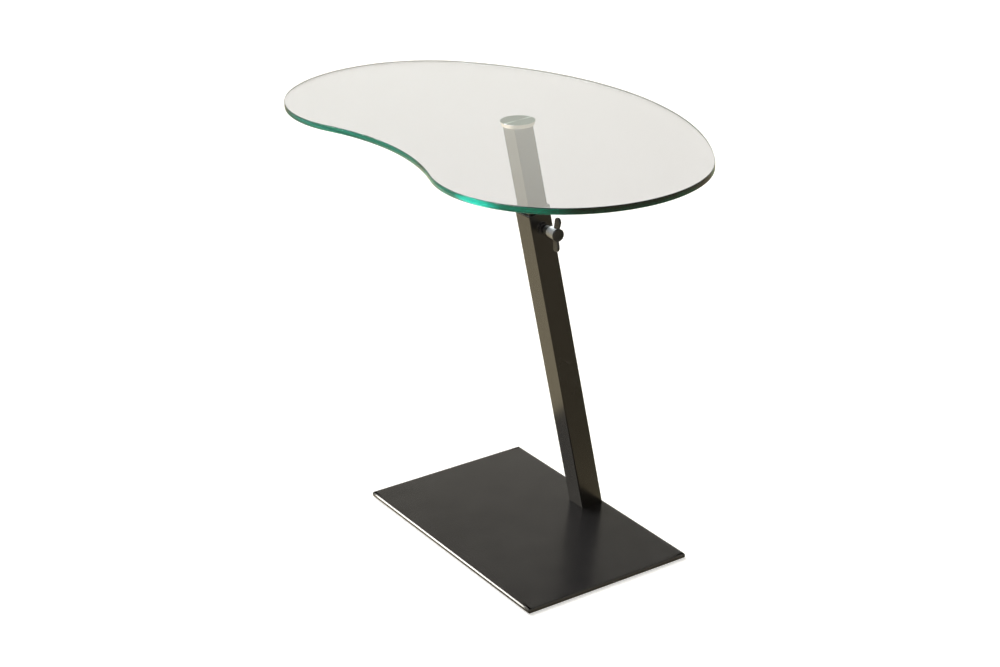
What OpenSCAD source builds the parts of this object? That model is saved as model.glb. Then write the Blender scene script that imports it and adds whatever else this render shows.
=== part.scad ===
// Side table with a kidney-shaped glass top on a leaning, height-adjustable square post.
// Millimetres. X runs along the long side, Y to the back, Z up; the floor is z = 0 and the
// origin lies under the middle of the glass. The height is the one in the picture.

/* [Glass top] */
// overall width of the kidney
glass_w = 750; // [680:1:860]
// overall depth of the kidney
glass_d = 425; // [390:1:500]
// thickness of the glass
glass_t = 8; // [6:0.5:12]
// radius of the two round ends
lobe_r = 181; // [165:1:200]
// depth of the notch in the front edge
notch_depth = 34; // [15:1:50]
// height of the glass surface above the floor
table_h = 618; // [600:1:660]

/* [Swivel head] */
// diameter of the metal disc under the glass
disc_d = 48; // [40:1:70]
// thickness of that disc
disc_t = 6; // [5.5:0.5:10]
// distance that the side of the disc leans inwards from its upper to its lower edge
disc_taper = 2; // [0:0.25:4]
// thickness of the bonding film between disc and glass
film_t = 0.2; // [0.1:0.05:0.5]
// diameter of the sliding washer under the disc
swivel_washer_d = 29; // [20:0.5:30]
// thickness of the sliding washer
swivel_washer_t = 1; // [0.5:0.25:2]
// thickness of the level plate that closes the inner tube
head_t = 4; // [3:0.5:8]
// shank diameter of the pivot bolt
pivot_d = 6; // [5:0.5:8]
// depth of the threaded hole in the disc
pivot_depth = 5; // [3:0.25:5.25]
// head diameter of the pivot bolt
pivot_head_d = 10; // [9:0.5:13]
// head height of the pivot bolt
pivot_head_h = 6; // [4:0.5:8]
// outer diameter of the spring washer over the bolt head
spring_washer_d = 12; // [10:0.5:16]
// thickness of the spring washer
spring_washer_t = 1.6; // [1:0.1:3]

/* [Post] */
// lean of the post towards the front, in degrees
lean = 9.9; // [6:0.1:14]
// outer width of the lower tube
outer_w = 35; // [34:0.5:45]
// wall of the lower tube
outer_wall = 1.5; // [1.2:0.1:1.6]
// outer corner radius of the lower tube
outer_r = 1.25; // [1:0.25:3]
// length of the lower tube along its middle line
outer_len = 482; // [440:1:500]
// outer width of the inner tube
inner_w = 30; // [26:0.25:30.5]
// wall of the inner tube
inner_wall = 1.5; // [1:0.1:2.5]
// outer corner radius of the inner tube
inner_r = 1; // [0.75:0.25:2.5]
// length of the inner tube along its middle line
inner_len = 358; // [320:1:420]

/* [Guides] */
// gap between a guide and the tube that slides past it
slide_gap = 0.2; // [0.1:0.05:0.4]
// thickness of the rim that covers the end of the lower tube
rim_t = 1.5; // [1:0.25:3]
// length of the liner inside the mouth of the lower tube
liner_len = 90; // [60:1:120]
// height of the block under the inner tube
shoe_h = 15; // [8:1:30]
// length of the part of that block inside the tube
shoe_plug_len = 20; // [10:1:40]
// diameter of the key hole through that block
shoe_hole_d = 12; // [8:0.5:16]

/* [Base] */
// width of the base plate
plate_w = 427; // [360:1:520]
// depth of the base plate
plate_d = 266; // [220:1:320]
// thickness of the base plate
plate_t = 6; // [5:0.5:10]
// corner radius of the base plate
plate_r = 2; // [1:0.5:10]
// distance from the middle of the post to the back edge of the plate
foot_margin = 21.5; // [19:0.5:60]
// thickness of the plate inside the foot of the post
foot_t = 6; // [5:0.5:10]
// thread diameter of the two foot screws
foot_screw_d = 6; // [5:0.5:6]
// length of the foot screws
foot_screw_len = 11; // [9:0.5:11.5]
// distance between the foot screws
foot_screw_pitch = 16; // [14:0.5:18]
// diameter of a floor pad
pad_d = 22; // [12:1:30]
// thickness of a floor pad
pad_t = 2; // [1:0.5:5]
// distance from a plate edge to the middle of a pad
pad_inset = 25; // [16:1:50]

/* [Clamp] */
// distance from the top of the lower tube down to the clamp screw
clamp_drop = 21; // [15:0.5:50]
// thread diameter of the clamp screw
clamp_d = 8; // [6:0.5:8]
// diameter of the threaded boss
boss_d = 17; // [14:0.5:24]
// length of the boss
boss_len = 7; // [4:0.5:9]
// diameter of the hole in the tube wall behind the boss
clamp_hole_d = 10; // [9:0.5:12]
// diameter of the pressure pad at the tip of the screw
press_d = 7.4; // [5:0.1:7.4]
// thickness of the pressure pad
press_t = 3.5; // [2.5:0.25:5]
// diameter of the stem that holds the pad in the screw
press_stem_d = 3; // [2:0.25:4]
// length of that stem
press_stem_len = 4; // [2:0.5:8]

/* [Knob] */
// distance from the post to the inner end of the hub
hub_start = 10; // [9.5:0.5:16]
// length of the hub
hub_len = 27; // [20:0.5:36]
// diameter of the dark collar at the hub's inner end
collar_d = 13; // [11:0.5:14]
// length of that collar
collar_len = 10; // [5:0.5:12]
// diameter of the hub beside the collar
hub_d_in = 16; // [14:0.5:16]
// diameter of the hub at its outer end
hub_d_out = 18; // [16:0.5:24]
// thickness of the round end of the wing grip
grip_t = 2.5; // [1.5:0.25:5]
// distance between the tips of the wings
wing_span = 48.5; // [40:0.5:64]
// width of a wing along the screw
wing_w = 12; // [8:0.5:13]
// thickness of a wing
wing_t = 3.5; // [2:0.25:5]
// distance that the wings spread outwards along the screw, from the hub to their tips
wing_flare = 2.5; // [0:0.25:4]
// turn of the upper wing from upright towards the back, in degrees
wing_turn = 5.2; // [-90:0.1:90]

/* [Hidden] */
$fn = 96;
// gap between two bodies that touch in use
touch_gap = 0.05;
// radial gap of a thread or pin that turns in its hole
turn_gap = 0.05;
// clearance of a screw in a through hole
hole_gap = 0.2;
// surplus of a cutting tool beyond the face that it cuts
over = 1;
// inner corner radius of the lower tube and the block that slides in it
bore_r = 0.5;
shoe_r = 1;
// hexagon sockets of the screws
pivot_key = 5;
pivot_key_depth = 3;
foot_key = 4;
foot_key_depth = 2;
// countersunk head of the foot screws: diameter and the flat rim below the cone
foot_head_d = 2 * foot_screw_d;
foot_head_rim = 0.3;
// width of the neck of a wing and rounding of its tip
neck_w = wing_w - 2;
tip_r = wing_w / 2;
// distances from the middle of the knob to the root of a wing and to the middle of its round tip
root_at = hub_d_out / 2;
tip_at = wing_span / 2 - tip_r;
// the screw ends this far before the slot of the wings
stud_gap = 0.5;

// heights
plate_top = pad_t + plate_t;
glass_z = table_h - glass_t;
disc_z = glass_z - film_t - disc_t;
head_top = disc_z - swivel_washer_t;
head_z = head_top - head_t;
spring_washer_z = head_z - spring_washer_t;
pivot_head_z = spring_washer_z - pivot_head_h;

// depth positions: the pivot sits midway between the notch and the back edge of the glass
pivot_y = notch_depth / 2;
foot_y = pivot_y + tan(lean) * (head_top - plate_top);
plate_y = foot_y + foot_margin - plate_d / 2;

// distances along the post from the top of the base plate
inner_top = (head_z - plate_top) / cos(lean);
inner_end = inner_top - inner_len;
liner_end = outer_len - liner_len;
clamp_at = outer_len - clamp_drop;

// widths
bore_w = outer_w - 2 * outer_wall;
shoe_w = bore_w - 2 * slide_gap;
slot_w = inner_w + 2 * slide_gap;
inner_bore_w = inner_w - 2 * inner_wall;
inner_bore_r = max(inner_r - inner_wall, bore_r);

// distances along the clamp screw from the middle of the post
press_x = inner_w / 2 + touch_gap;
tip_x = press_x + press_t + touch_gap;
hub_x = outer_w / 2 + hub_start;
grip_x = hub_x + hub_len;
grip_end = grip_x + grip_t;
wing_x = grip_end - wing_w / 2;
slot_x = wing_x - neck_w / 2;
stud_end = slot_x - stud_gap;

// outline of the kidney: two round ends, a back arc around them and a front arc between them;
// the arcs bite into the round ends by a hair, so that the outline is one piece
arc_bite = 0.02;
bite_r = lobe_r - arc_bite;
lobe_x = glass_w / 2 - lobe_r;
lobe_y = lobe_r - glass_d / 2;
back_rise = glass_d - lobe_r;
back_r = (pow(lobe_x, 2) + pow(back_rise, 2) - pow(bite_r, 2)) / (2 * (back_rise - bite_r));
back_cy = glass_d / 2 - back_r;
notch_rise = lobe_r - notch_depth;
notch_r = (pow(lobe_x, 2) + pow(notch_rise, 2) - pow(bite_r, 2)) / (2 * (bite_r - notch_rise));
notch_cy = lobe_y - notch_rise - notch_r;
// where the back arc and the front arc meet the round ends
back_x = back_r * sin(atan2(lobe_x, lobe_y - back_cy));
front_y = lobe_y - lobe_r * cos(atan2(lobe_x, lobe_y - notch_cy));

// colours
glass_color = [0.72, 0.85, 0.80, 0.5];
film_color = [0.90, 0.92, 0.90, 0.6];
black_color = [0.13, 0.13, 0.12];
nylon_color = [0.08, 0.08, 0.08];
steel_color = [0.60, 0.61, 0.60];
chrome_color = [0.82, 0.82, 0.80];
grip_color = [0.24, 0.24, 0.24];
rubber_color = [0.10, 0.10, 0.10];

// square with rounded corners, centred on the axis
module rounded_square(w, r) {
  square([w, w - 2 * r], center = true);
  square([w - 2 * r, w], center = true);
  for (sx = [-1, 1])
    for (sy = [-1, 1])
      translate([sx * (w / 2 - r), sy * (w / 2 - r)]) circle(r);
}

// places a part in the frame of the leaning post, z along its middle line
module on_post() {
  translate([0, foot_y, plate_top]) rotate([lean, 0, 0]) children();
}

// places a part in the frame of the clamp screw, z pointing out of the post
module on_clamp() {
  on_post() translate([0, 0, clamp_at]) rotate([0, 90, 0]) children();
}

module base_plate() {
  color(black_color) difference() {
    translate([0, plate_y, pad_t]) linear_extrude(plate_t) {
      square([plate_w, plate_d - 2 * plate_r], center = true);
      square([plate_w - 2 * plate_r, plate_d], center = true);
      for (sx = [-1, 1])
        for (sy = [-1, 1])
          translate([sx * (plate_w / 2 - plate_r), sy * (plate_d / 2 - plate_r)]) circle(plate_r);
    }
    for (sx = [-1, 1])
      translate([sx * foot_screw_pitch / 2, foot_y, pad_t]) {
        translate([0, 0, -over]) cylinder(d = foot_screw_d + 2 * hole_gap, h = plate_t + 2 * over);
        translate([0, 0, -over]) cylinder(d = foot_head_d + 2 * hole_gap, h = over + foot_head_rim);
        translate([0, 0, foot_head_rim])
          cylinder(d1 = foot_head_d + 2 * hole_gap, d2 = foot_screw_d + 2 * hole_gap,
                   h = (foot_head_d - foot_screw_d) / 2);
      }
  }
}

module floor_pads() {
  color(rubber_color)
    for (sx = [-1, 1])
      for (sy = [-1, 1])
        translate([sx * (plate_w / 2 - pad_inset), plate_y + sy * (plate_d / 2 - pad_inset), 0])
          cylinder(d = pad_d, h = pad_t);
}

// lower tube: cut level at the foot and square at the mouth
module outer_tube() {
  color(black_color) difference() {
    on_post() translate([0, 0, -outer_w]) linear_extrude(outer_w + outer_len) difference() {
      rounded_square(outer_w, outer_r);
      rounded_square(bore_w, bore_r);
    }
    translate([-outer_w, foot_y - 2 * outer_w, plate_top - 3 * outer_w])
      cube([2 * outer_w, 4 * outer_w, 3 * outer_w]);
    on_clamp() translate([0, 0, bore_w / 2 - over])
      cylinder(d = clamp_hole_d, h = outer_wall + 2 * over);
  }
}

// level plate welded into the foot of the lower tube
module foot_plate() {
  color(steel_color) difference() {
    intersection() {
      on_post() translate([0, 0, -outer_w]) linear_extrude(3 * outer_w) rounded_square(bore_w, bore_r);
      translate([-outer_w, foot_y - 2 * outer_w, plate_top]) cube([2 * outer_w, 4 * outer_w, foot_t]);
    }
    for (sx = [-1, 1])
      translate([sx * foot_screw_pitch / 2, foot_y, plate_top - over])
        cylinder(d = foot_screw_d, h = foot_t + 2 * over);
  }
}

// countersunk screws from below through the base plate
module foot_screws() {
  color(steel_color)
    for (sx = [-1, 1])
      translate([sx * foot_screw_pitch / 2, foot_y, pad_t]) difference() {
        union() {
          cylinder(d = foot_screw_d, h = foot_screw_len);
          cylinder(d = foot_head_d, h = foot_head_rim);
          translate([0, 0, foot_head_rim])
            cylinder(d1 = foot_head_d, d2 = foot_screw_d, h = (foot_head_d - foot_screw_d) / 2);
        }
        translate([0, 0, -over]) cylinder(d = foot_key, h = over + foot_key_depth, $fn = 6);
      }
}

// plastic liner in the mouth of the lower tube, with a rim over its end
module mouth_guide() {
  color(nylon_color) difference() {
    on_post() {
      translate([0, 0, liner_end]) linear_extrude(liner_len) difference() {
        rounded_square(bore_w, bore_r);
        rounded_square(slot_w, inner_r + slide_gap);
      }
      translate([0, 0, outer_len]) linear_extrude(rim_t) difference() {
        rounded_square(outer_w, outer_r);
        rounded_square(slot_w, inner_r + slide_gap);
      }
    }
    on_clamp() translate([0, 0, inner_w / 2 - over])
      cylinder(d = clamp_hole_d, h = bore_w / 2 - inner_w / 2 + 2 * over);
  }
}

// threaded boss welded to the side of the lower tube
module clamp_boss() {
  color(black_color) on_clamp() translate([0, 0, outer_w / 2]) difference() {
    cylinder(d = boss_d, h = boss_len);
    translate([0, 0, -over]) cylinder(d = clamp_d + 2 * turn_gap, h = boss_len + 2 * over);
  }
}

// inner tube: cut square at the bottom and level under the head plate
module inner_tube() {
  color(black_color) difference() {
    on_post() translate([0, 0, inner_end]) linear_extrude(inner_len + outer_w) difference() {
      rounded_square(inner_w, inner_r);
      rounded_square(inner_bore_w, inner_bore_r);
    }
    translate([-outer_w, pivot_y - 2 * outer_w, head_z]) cube([2 * outer_w, 4 * outer_w, 3 * outer_w]);
  }
}

// plastic block under the inner tube, plugged into its end
module guide_shoe() {
  color(nylon_color) on_post() translate([0, 0, inner_end]) difference() {
    union() {
      translate([0, 0, -shoe_h]) linear_extrude(shoe_h) rounded_square(shoe_w, shoe_r);
      linear_extrude(shoe_plug_len) rounded_square(inner_bore_w, inner_bore_r);
    }
    translate([0, 0, -shoe_h - over]) cylinder(d = shoe_hole_d, h = shoe_h + shoe_plug_len + 2 * over);
  }
}

// level plate welded on top of the inner tube
module head_plate() {
  color(black_color) difference() {
    intersection() {
      on_post() translate([0, 0, inner_top - outer_w]) linear_extrude(3 * outer_w)
        rounded_square(inner_w, inner_r);
      translate([-outer_w, pivot_y - 2 * outer_w, head_z]) cube([2 * outer_w, 4 * outer_w, head_t]);
    }
    translate([0, pivot_y, head_z - over])
      cylinder(d = pivot_d + 2 * turn_gap, h = head_t + 2 * over);
  }
}

module swivel_washer() {
  color(nylon_color) translate([0, pivot_y, head_top]) difference() {
    cylinder(d = swivel_washer_d, h = swivel_washer_t);
    translate([0, 0, -over]) cylinder(d = pivot_d + 2 * turn_gap, h = swivel_washer_t + 2 * over);
  }
}

// flat outline of the glass: the round ends, the sheet between them and the notch
module kidney() {
  difference() {
    union() {
      for (sx = [-1, 1])
        translate([sx * lobe_x, lobe_y]) circle(lobe_r);
      intersection() {
        translate([0, back_cy]) circle(back_r);
        polygon([[-back_x, glass_d], [back_x, glass_d], [back_x, lobe_y], [lobe_x, lobe_y],
                 [lobe_x, front_y], [-lobe_x, front_y], [-lobe_x, lobe_y], [-back_x, lobe_y]]);
      }
    }
    translate([0, notch_cy]) circle(notch_r);
  }
}

module glass_top() {
  color(glass_color) translate([0, 0, glass_z]) linear_extrude(glass_t) kidney();
}

module bond_film() {
  color(film_color) translate([0, pivot_y, glass_z - film_t]) cylinder(d = disc_d, h = film_t);
}

// turned disc bonded to the glass, with a blind threaded hole for the pivot bolt
module glass_disc() {
  color(chrome_color) translate([0, pivot_y, disc_z]) difference() {
    cylinder(d1 = disc_d - 2 * disc_taper, d2 = disc_d, h = disc_t);
    translate([0, 0, -over]) cylinder(d = pivot_d, h = over + pivot_depth);
  }
}

// bolt from inside the inner tube, up through the head plate into the disc
module pivot_bolt() {
  color(steel_color) translate([0, pivot_y, pivot_head_z]) difference() {
    union() {
      cylinder(d = pivot_head_d, h = pivot_head_h);
      cylinder(d = pivot_d, h = disc_z + pivot_depth - pivot_head_z);
    }
    translate([0, 0, -over]) cylinder(d = pivot_key, h = over + pivot_key_depth, $fn = 6);
  }
}

module spring_washer() {
  color(steel_color) translate([0, pivot_y, spring_washer_z]) difference() {
    cylinder(d = spring_washer_d, h = spring_washer_t);
    translate([0, 0, -over]) cylinder(d = pivot_d + 2 * turn_gap, h = spring_washer_t + 2 * over);
  }
}

// plastic pad that the screw presses against the inner tube
module pressure_pad() {
  color(nylon_color) on_clamp() translate([0, 0, press_x]) {
    cylinder(d = press_d, h = press_t);
    cylinder(d = press_stem_d, h = press_t + press_stem_len);
  }
}

module clamp_screw() {
  color(black_color) on_clamp() difference() {
    translate([0, 0, tip_x]) cylinder(d = clamp_d, h = stud_end - tip_x);
    translate([0, 0, tip_x - over])
      cylinder(d = press_stem_d + 2 * turn_gap, h = over + press_stem_len + 2 * turn_gap);
  }
}

// flared metal hub on the screw, slotted across its outer end for the wings
module knob_hub() {
  color(chrome_color) on_clamp() difference() {
    translate([0, 0, hub_x]) union() {
      cylinder(d = collar_d, h = collar_len);
      translate([0, 0, collar_len]) cylinder(d1 = hub_d_in, d2 = hub_d_out, h = hub_len - collar_len);
    }
    translate([0, 0, hub_x - over]) cylinder(d = clamp_d, h = over + stud_end - hub_x);
    rotate([0, 0, -wing_turn - lean])
      translate([-hub_d_out, -wing_t / 2, slot_x])
        cube([2 * hub_d_out, wing_t, wing_w]);
  }
}

// flat outline of both wings: a straight band across the hub, which spreads outwards to the round tips
module wings() {
  polygon([[-tip_at, wing_flare - neck_w / 2], [-root_at, -neck_w / 2], [root_at, -neck_w / 2],
           [tip_at, wing_flare - neck_w / 2], [tip_at, wing_flare + neck_w / 2],
           [root_at, neck_w / 2], [-root_at, neck_w / 2], [-tip_at, wing_flare + neck_w / 2]]);
  for (sx = [-1, 1])
    translate([sx * tip_at, wing_flare]) circle(tip_r);
}

// round end with two flat wings, pushed into the slot of the hub
module wing_grip() {
  color(grip_color) on_clamp() {
    translate([0, 0, grip_x]) cylinder(d = hub_d_out, h = grip_t);
    rotate([0, 0, -wing_turn - lean]) translate([0, wing_t / 2, wing_x])
      rotate([90, 0, 0]) linear_extrude(wing_t) wings();
  }
}

base_plate();
floor_pads();
outer_tube();
foot_plate();
foot_screws();
mouth_guide();
clamp_boss();
inner_tube();
guide_shoe();
head_plate();
swivel_washer();
glass_top();
bond_film();
glass_disc();
pivot_bolt();
spring_washer();
pressure_pad();
clamp_screw();
knob_hub();
wing_grip();
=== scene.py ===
import math

import bmesh
import bpy
import numpy as np
from mathutils import Matrix, Vector
from mathutils.geometry import tessellate_polygon


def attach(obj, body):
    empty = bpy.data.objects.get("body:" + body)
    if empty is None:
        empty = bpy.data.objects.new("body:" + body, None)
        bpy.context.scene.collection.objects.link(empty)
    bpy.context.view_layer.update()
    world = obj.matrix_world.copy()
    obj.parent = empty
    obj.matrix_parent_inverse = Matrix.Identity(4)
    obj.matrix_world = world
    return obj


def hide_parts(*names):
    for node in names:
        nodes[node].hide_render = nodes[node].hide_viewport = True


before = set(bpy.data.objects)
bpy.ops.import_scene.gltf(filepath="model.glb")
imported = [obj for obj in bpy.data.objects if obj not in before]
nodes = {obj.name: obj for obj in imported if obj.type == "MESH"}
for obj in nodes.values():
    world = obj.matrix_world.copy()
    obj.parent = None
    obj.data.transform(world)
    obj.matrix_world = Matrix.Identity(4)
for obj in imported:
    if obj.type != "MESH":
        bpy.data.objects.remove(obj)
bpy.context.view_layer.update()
mm = 0.001
weldDistance = 2e-7      # metres: points closer than this become one
levelFrom = 0.999        # upward part of a face's normal from which the face counts as level
print("frame loaded:", len(nodes), "nodes")


# puts arrays of points and faces into a closed mesh: doubles merged, faces outward, and shaded smooth where
# two faces meet at less than the given crease
def makePiece(name, points, faces, body, stands, crease=38.0):
    mesh = bpy.data.meshes.new(name)
    mesh.from_pydata(np.asarray(points).reshape(-1, 3).tolist(), [], [list(f) for f in faces])
    work = bmesh.new()
    work.from_mesh(mesh)
    bmesh.ops.remove_doubles(work, verts=work.verts, dist=weldDistance)
    bmesh.ops.recalc_face_normals(work, faces=work.faces)
    work.to_mesh(mesh)
    work.free()
    mesh.shade_smooth()
    mesh.set_sharp_from_angle(angle=math.radians(crease))
    piece = bpy.data.objects.new(name, mesh)
    bpy.context.scene.collection.objects.link(piece)
    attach(piece, body)
    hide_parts(*stands)
    return piece


# faces of a grid of rows by columns: point (i, j) has number i * columns + j; in a closed direction the end
# is joined to the start
def gridFaces(rows, columns, closedRows=False, closedColumns=True, first=0):
    i, j = np.meshgrid(np.arange(rows if closedRows else rows - 1),
                       np.arange(columns if closedColumns else columns - 1), indexing="ij")
    nextI, nextJ = (i + 1) % rows, (j + 1) % columns
    here, there = i * columns, nextI * columns
    quads = np.stack([here + j, here + nextJ, there + nextJ, there + j], axis=-1)
    return (quads.reshape(-1, 4) + first).tolist()


# round arc from angle a to b in degrees: centre + radius * (cos t, sin t)
def roundArc(centre, radius, a, b, steps):
    t = np.radians(np.linspace(a, b, steps + 1))
    return np.stack([centre[0] + radius * np.cos(t), centre[1] + radius * np.sin(t)], axis=-1)


# turned shape: each profile point (r, h) goes round the axis as x = r cos t, y = r sin t, z = h, and then
# into its place
def turned(profile, place=Matrix.Identity(4), around=96, closedProfile=False, first=0):
    profile = np.asarray(profile, float)
    t = np.linspace(0, 2 * math.pi, around, endpoint=False)
    r, h = profile[:, :1], profile[:, 1:]
    points = np.stack([r * np.cos(t), r * np.sin(t), h + 0 * t], axis=-1).reshape(-1, 3)
    return atPlace(points, place), gridFaces(len(profile), around, closedRows=closedProfile, first=first)


# points turned and moved by a frame
def atPlace(points, place):
    turn = np.array(place)
    return np.asarray(points).reshape(-1, 3) @ turn[:3, :3].T + turn[:3, 3]


# sheet: outline p(u) with outward normal n(u), carried along an edge profile (inset, height), so that each
# point is p(u) - inset * n(u) at that height; triangles fill the flat faces and leave the round holes open
def sheet(outline, normals, profile, place=Matrix.Identity(4), holes=(), around=48):
    profile = np.asarray(profile, float)
    inset, height = profile[:, None, :1], profile[:, None, 1:]
    flat = outline[None] - inset * normals[None]
    grid = np.concatenate([flat, np.broadcast_to(height, flat[..., :1].shape)], axis=-1)
    count = len(outline)
    points, faces = [grid.reshape(-1, 3)], gridFaces(len(profile), count)
    first = len(profile) * count
    lower, upper = [np.arange(count)], [np.arange(count) + first - count]
    for x, y, holeProfile in holes:
        holePoints, holeFaces = turned(holeProfile, Matrix.Translation((x, y, 0)), around, first=first)
        points.append(holePoints)
        faces += holeFaces
        lower.append(np.arange(around) + first)
        upper.append(np.arange(around) + first + len(holePoints) - around)
        first += len(holePoints)
    points = np.concatenate(points)
    for rings in (lower, upper):
        numbers = np.concatenate(rings)
        loops = [[tuple(points[n]) for n in ring] for ring in rings]
        faces += [[int(numbers[k]) for k in face] for face in tessellate_polygon(loops)]
    return atPlace(points, place), faces


# outline of arcs, each (centre x, centre y, radius, from angle, to angle, side) in radians; the normal
# points away from the centre (side 1) or towards it (side -1); every arc leaves out its last point
def arcOutline(arcs, step):
    points, normals = [], []
    for cx, cy, radius, a, b, side in arcs:
        count = max(3, round(abs(b - a) * radius / step))
        t = np.linspace(a, b, count, endpoint=False)
        away = np.stack([np.cos(t), np.sin(t)], axis=-1)
        points.append(np.array([cx, cy]) + radius * away)
        normals.append(side * away)
    return np.concatenate(points), np.concatenate(normals)


# rounded rectangle as four corner arcs; the straight sides are divided so that no face is very long
def roundedRectangle(width, depth, radius, cornerSteps=8, sideStep=0.02):
    points, normals = [], []
    corners = [(1, 1, 0), (-1, 1, 90), (-1, -1, 180), (1, -1, 270)]
    for n, (sx, sy, a) in enumerate(corners):
        t = np.radians(np.linspace(a, a + 90, cornerSteps + 1))
        away = np.stack([np.cos(t), np.sin(t)], axis=-1)
        centre = np.array([sx * (width / 2 - radius), sy * (depth / 2 - radius)])
        points.append(centre + radius * away)
        normals.append(away)
        nx, ny, _ = corners[(n + 1) % 4]
        end = np.array([nx * (width / 2 - radius), ny * (depth / 2 - radius)]) + radius * away[-1]
        start = points[-1][-1]
        count = max(2, round(np.linalg.norm(end - start) / sideStep))
        part = np.linspace(0, 1, count + 1)[1:-1, None]
        points.append(start + (end - start) * part)
        normals.append(np.broadcast_to(away[-1], (len(part), 2)))
    return np.concatenate(points), np.concatenate(normals)


# sRGB hex colour to linear light
def toLinear(hexColour):
    parts = [int(hexColour.lstrip("#")[k:k + 2], 16) / 255 for k in (0, 2, 4)]
    return tuple(c / 12.92 if c <= 0.04045 else ((c + 0.055) / 1.055) ** 2.4 for c in parts) + (1.0,)


# adds one node: settings by name, and inputs as values or as the sockets that feed them
def addNode(tree, kind, inputs=None, **settings):
    node = tree.nodes.new(kind)
    for name, value in settings.items():
        setattr(node, name, value)
    for name, value in (inputs or {}).items():
        if isinstance(value, bpy.types.NodeSocket):
            tree.links.new(value, node.inputs[name])
        else:
            node.inputs[name].default_value = value
    return node


# a material and its node tree, with no nodes yet
def emptyMaterial(name):
    material = bpy.data.materials.new(name)
    material.use_nodes = True
    material.node_tree.nodes.clear()
    return material, material.node_tree


# a coat, a moulding or a plated skin: two close colours in clouds, a fine relief, and uneven roughness; the
# noise that drives it stays between about 0.3 and 0.7
def makeFinish(name, look):
    material, tree = emptyMaterial(name)
    where = addNode(tree, "ShaderNodeTexCoord").outputs["Object"]
    clouds = addNode(tree, "ShaderNodeTexNoise",
                     {"Vector": where, "Scale": 1 / (look["cloud"] * mm), "Detail": 3.0, "Roughness": 0.55})
    colour = addNode(tree, "ShaderNodeMix",
                     {0: clouds.outputs[0], 6: toLinear(look["dark"]), 7: toLinear(look["light"])},
                     data_type="RGBA")
    relief = addNode(tree, "ShaderNodeTexNoise",
                     {"Vector": where, "Scale": 1 / (look["grain"] * mm), "Detail": 2.0, "Roughness": 0.5})
    low, high = look["roughness"]
    rough = addNode(tree, "ShaderNodeMapRange",
                    {0: clouds.outputs[0], 1: 0.3, 2: 0.7, 3: low, 4: high})
    bump = addNode(tree, "ShaderNodeBump",
                   {"Height": relief.outputs[0], "Strength": look["strength"],
                    "Distance": look["relief"] * mm})
    shader = addNode(tree, "ShaderNodeBsdfPrincipled",
                     {"Base Color": colour.outputs[2], "Roughness": rough.outputs[0],
                      "Normal": bump.outputs[0], "Metallic": look.get("metallic", 0.0),
                      "IOR": look.get("ior", 1.5),
                      "Specular Tint": toLinear(look.get("gloss", "#FFFFFF"))})
    addNode(tree, "ShaderNodeOutputMaterial", {"Surface": shader.outputs[0]})
    return material


# gives a piece its materials, in the order of its faces' material numbers
def dress(piece, *materials):
    piece.data.materials.clear()
    for material in materials:
        piece.data.materials.append(material)


# the glass top

glassTop = {
    "width": 750 * mm, "depth": 425 * mm, "thickness": 8 * mm, "underside": 610 * mm,
    "lobeRadius": 181 * mm, "notchDepth": 34 * mm,
    "arris": 0.8 * mm,     # rounding of the two polished arrises
    "belt": 3.0 * mm,      # flat belt beside the arris, which keeps the face's shading flat
    "step": 3.0 * mm,
}


# outline of the kidney: two round ends, a back arc that lies round both, and a front arc that both lie
# against
def kidneyOutline(g):
    r, top = g["lobeRadius"], g["depth"] / 2
    lx, ly = g["width"] / 2 - r, r - top
    rise, drop = g["depth"] - r, r - g["notchDepth"]
    backRadius = (lx ** 2 + rise ** 2 - r ** 2) / (2 * (rise - r))
    backY = top - backRadius
    notchRadius = (lx ** 2 + drop ** 2 - r ** 2) / (2 * (r - drop))
    notchY = ly - drop - notchRadius
    a = math.atan2(ly - backY, lx)
    b = math.atan2(ly - notchY, lx)
    return arcOutline([
        (0, backY, backRadius, a, math.pi - a, 1),
        (-lx, ly, r, math.pi - a, 2 * math.pi - b, 1),
        (0, notchY, notchRadius, math.pi - b, b, -1),
        (lx, ly, r, b - math.pi, a, 1),
    ], g["step"])


# edge profile of a plate from its lower to its upper face: belt, round arris, flat, round arris, belt
def platedEdge(thickness, lowerRound, upperRound, belt, steps=4):
    lower = roundArc((lowerRound, lowerRound), lowerRound, 270, 180, steps)
    upper = roundArc((upperRound, thickness - upperRound), upperRound, 180, 90, steps)
    return np.concatenate([[[belt, 0]], lower, upper, [[belt, thickness]]])


outline, normals = kidneyOutline(glassTop)
edge = platedEdge(glassTop["thickness"], glassTop["arris"], glassTop["arris"], glassTop["belt"])
points, faces = sheet(outline, normals, edge, Matrix.Translation((0, 0, glassTop["underside"])))
glass = makePiece("glassTop", points, faces, "top", ["glass_top"])
print("glass top:", len(points), "points")

floatGlass = {
    "ior": 1.52,
    # loss inside, per metre, and its colour: clear float glass is green where one looks far into it
    "density": 8.0, "absorb": (0.0, 0.75, 0.69, 1.0),
    "shade": 0.9,            # share of the lamps' light that passes, for shadows
    "faceTint": "#F4EDF4",   # what one face lets through
    "edgeTint": "#F4FBF8",   # what the edge lets through
    # the hand-polished edge: roughness, and the length in mm, strength and height in mm of its faint waves
    "edgeRoughness": 0.04, "edgeWave": 14.0, "waveStrength": 0.35, "waveHeight": 0.3,
}


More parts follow.
